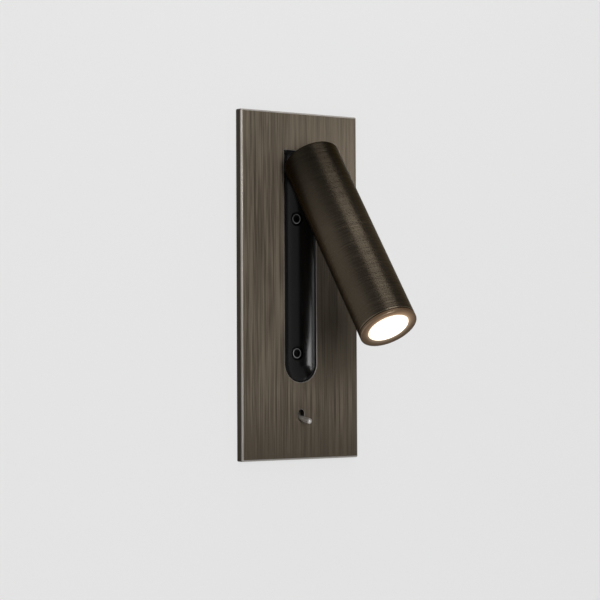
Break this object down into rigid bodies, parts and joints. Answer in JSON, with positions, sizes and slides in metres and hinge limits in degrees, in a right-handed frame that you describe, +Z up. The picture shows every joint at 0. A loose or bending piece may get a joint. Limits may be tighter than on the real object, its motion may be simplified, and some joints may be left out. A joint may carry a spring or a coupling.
{
  "type": "wall reading lamp",
  "caption": "Recessed bedside reading lamp: a short tube that tilts out of a slotted rectangular wall plate, with a toggle switch below.",
  "frame": {"origin": "middle of the wall plate's rear face, on the wall's surface", "axes": "+Z up along the plate's length, +Y into the wall, +X to the right as seen from the room"},
  "size_m": [0.074, 0.1348, 0.18],
  "materials": {
    "bronze_plate": "dark bronze, brushed upright, clear lacquered",
    "bronze_tube": "dark bronze anodised, fine turned brushing round the tube",
    "bed_black": "glossy black moulding",
    "screw_black": "blackened screw",
    "screw_steel": "nickel-plated bush and nut",
    "lever_nickel": "polished nickel",
    "lens_glass": "frosted, lit from behind",
    "zinc_steel": "zinc-plated sheet and fasteners",
    "hinge_steel": "blackened hinge steel",
    "cast_aluminium": "machined aluminium",
    "friction_plastic": "friction washer",
    "board_white": "white lamp board",
    "chip_yellow": "phosphor of the light-emitting chip",
    "thermal_grey": "thermal pad",
    "reflector_silver": "metallised reflector",
    "switch_plastic": "moulded switch case",
    "terminal_metal": "tinned brass contacts",
    "driver_plastic": "white moulded case",
    "board_green": "driver board",
    "transformer_dark": "wound transformer",
    "can_black": "sleeved capacitors",
    "grommet_rubber": "soft black grommet"
  },
  "bodies": {
    "base": {"front_plate": "bronze_plate", "cradle_trough": "bed_black", "fixing_screws": "screw_black", "plate_nuts": "zinc_steel", "strap_nuts": "zinc_steel", "hinge_arm": "hinge_steel", "arm_screws": "hinge_steel", "switch_bush": "screw_steel", "switch_nut": "screw_steel", "switch_body": "switch_plastic", "switch_terminals": "terminal_metal", "back_box": "zinc_steel", "box_straps": "zinc_steel", "cable_grommet": "grommet_rubber", "driver_case": "driver_plastic", "driver_cover": "driver_plastic", "driver_board": "board_green", "driver_transformer": "transformer_dark", "driver_capacitors": "can_black", "driver_screws": "zinc_steel", "terminal_block": "driver_plastic", "terminal_screws": "terminal_metal", "block_screws": "zinc_steel", "earth_washer": "zinc_steel", "earth_screw": "terminal_metal"},
    "head": {"hinge_block": "cast_aluminium", "hinge_pin": "hinge_steel", "spring_washer": "hinge_steel", "pin_nut": "hinge_steel", "friction_washers": "friction_plastic", "lamp_tube": "bronze_tube", "tube_screws": "hinge_steel", "tube_end_cap": "bronze_tube", "end_cap_screws": "hinge_steel", "bezel_ring": "bronze_tube", "lens": "lens_glass", "reflector": "reflector_silver", "led_emitter": "chip_yellow", "led_board": "board_white", "thermal_pad": "thermal_grey", "board_screws": "zinc_steel", "heat_sink": "cast_aluminium"},
    "toggle": {"switch_lever": "lever_nickel"}
  },
  "joints": [
    {"name": "head_tilt", "type": "hinge", "parent": "base", "child": "head", "pos_m": [0, -0.0171, 0.0609], "axis": [-1, 0, 0], "range_deg": [-36, 54]},
    {"name": "switch_toggle", "type": "hinge", "parent": "base", "child": "toggle", "pos_m": [0, 0.0025, -0.0672], "axis": [-1, 0, 0], "range_deg": [0, 22]}
  ]
}
